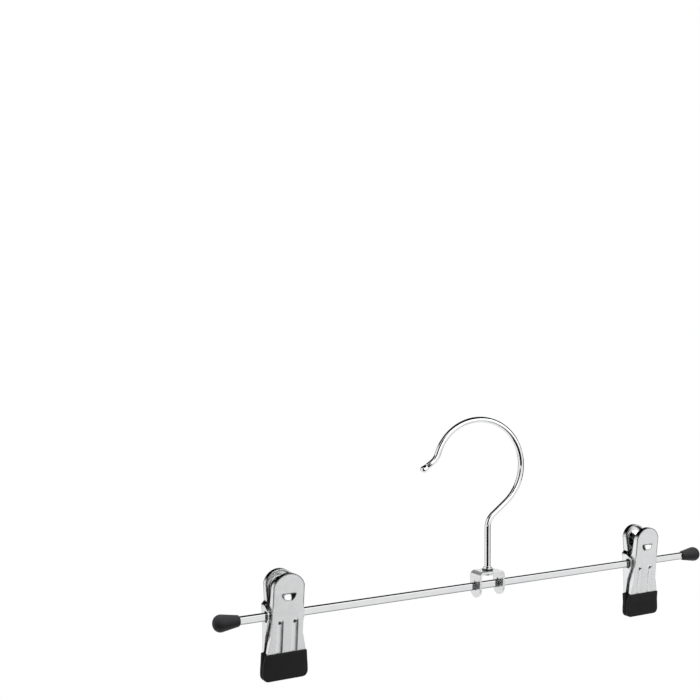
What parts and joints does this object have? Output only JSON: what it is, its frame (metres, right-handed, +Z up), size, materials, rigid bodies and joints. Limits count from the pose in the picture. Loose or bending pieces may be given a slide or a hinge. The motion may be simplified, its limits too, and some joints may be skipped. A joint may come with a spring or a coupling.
{
  "type": "skirt hanger",
  "caption": "Metal skirt and trouser hanger: a flat bar under a swivel wire hook, with spring clips that slide along it and open to grip cloth in rubber pads.",
  "frame": {"origin": "on the hook's swivel axis, on the inside of the hook's crown, where a rail bears", "axes": "+X runs along the bar to its right end, +Y from the front to the back, +Z up along the swivel axis"},
  "size_m": [0.31, 0.0148, 0.1194],
  "materials": {
    "chrome": "polished",
    "clip_steel": "satin",
    "spring_steel": "bright",
    "black_rubber": "matt"
  },
  "bodies": {
    "hook": {"hook_wire": "chrome", "hook_tip": "chrome", "swivel_collar": "chrome"},
    "frame": {"saddle": "chrome", "bar": "chrome", "left_end_cap": "black_rubber", "right_end_cap": "black_rubber"},
    "left_carrier": {"left_spring": "spring_steel"},
    "left_front": {"left_front_jaw": "clip_steel", "left_front_pad": "black_rubber"},
    "left_back": {"left_back_jaw": "clip_steel", "left_back_pad": "black_rubber"},
    "right_carrier": {"right_spring": "spring_steel"},
    "right_front": {"right_front_jaw": "clip_steel", "right_front_pad": "black_rubber"},
    "right_back": {"right_back_jaw": "clip_steel", "right_back_pad": "black_rubber"}
  },
  "joints": [
    {"name": "hook_swivel", "type": "hinge", "parent": "hook", "child": "frame", "pos_m": [0, 0, -0.078], "axis": [0, 0, 1], "continuous": true},
    {"name": "left_clip_slide", "type": "slide", "parent": "frame", "child": "left_carrier", "axis": [1, 0, 0], "range_m": [-0.0131, 0.1011]},
    {"name": "left_front_hinge", "type": "hinge", "parent": "left_carrier", "child": "left_front", "pos_m": [-0.119, 0, -0.08506], "axis": [-1, 0, 0], "range_deg": [0, 11], "stiffness_Nm_per_rad": 0.6, "springref_deg": -14.32, "deforming": ["left_spring"]},
    {"name": "left_back_hinge", "type": "hinge", "parent": "left_carrier", "child": "left_back", "pos_m": [-0.119, 0, -0.08506], "axis": [1, 0, 0], "range_deg": [0, 11], "deforming": ["left_spring"]},
    {"name": "right_clip_slide", "type": "slide", "parent": "frame", "child": "right_carrier", "axis": [1, 0, 0], "range_m": [-0.0911, 0.0231]},
    {"name": "right_front_hinge", "type": "hinge", "parent": "right_carrier", "child": "right_front", "pos_m": [0.109, 0, -0.08506], "axis": [-1, 0, 0], "range_deg": [0, 11], "stiffness_Nm_per_rad": 0.6, "springref_deg": -14.32, "deforming": ["right_spring"]},
    {"name": "right_back_hinge", "type": "hinge", "parent": "right_carrier", "child": "right_back", "pos_m": [0.109, 0, -0.08506], "axis": [1, 0, 0], "range_deg": [0, 11], "deforming": ["right_spring"]}
  ],
  "couplings": [
    {"joint": "left_back_hinge", "follows": "left_front_hinge", "ratio": 1},
    {"joint": "right_back_hinge", "follows": "right_front_hinge", "ratio": 1}
  ]
}
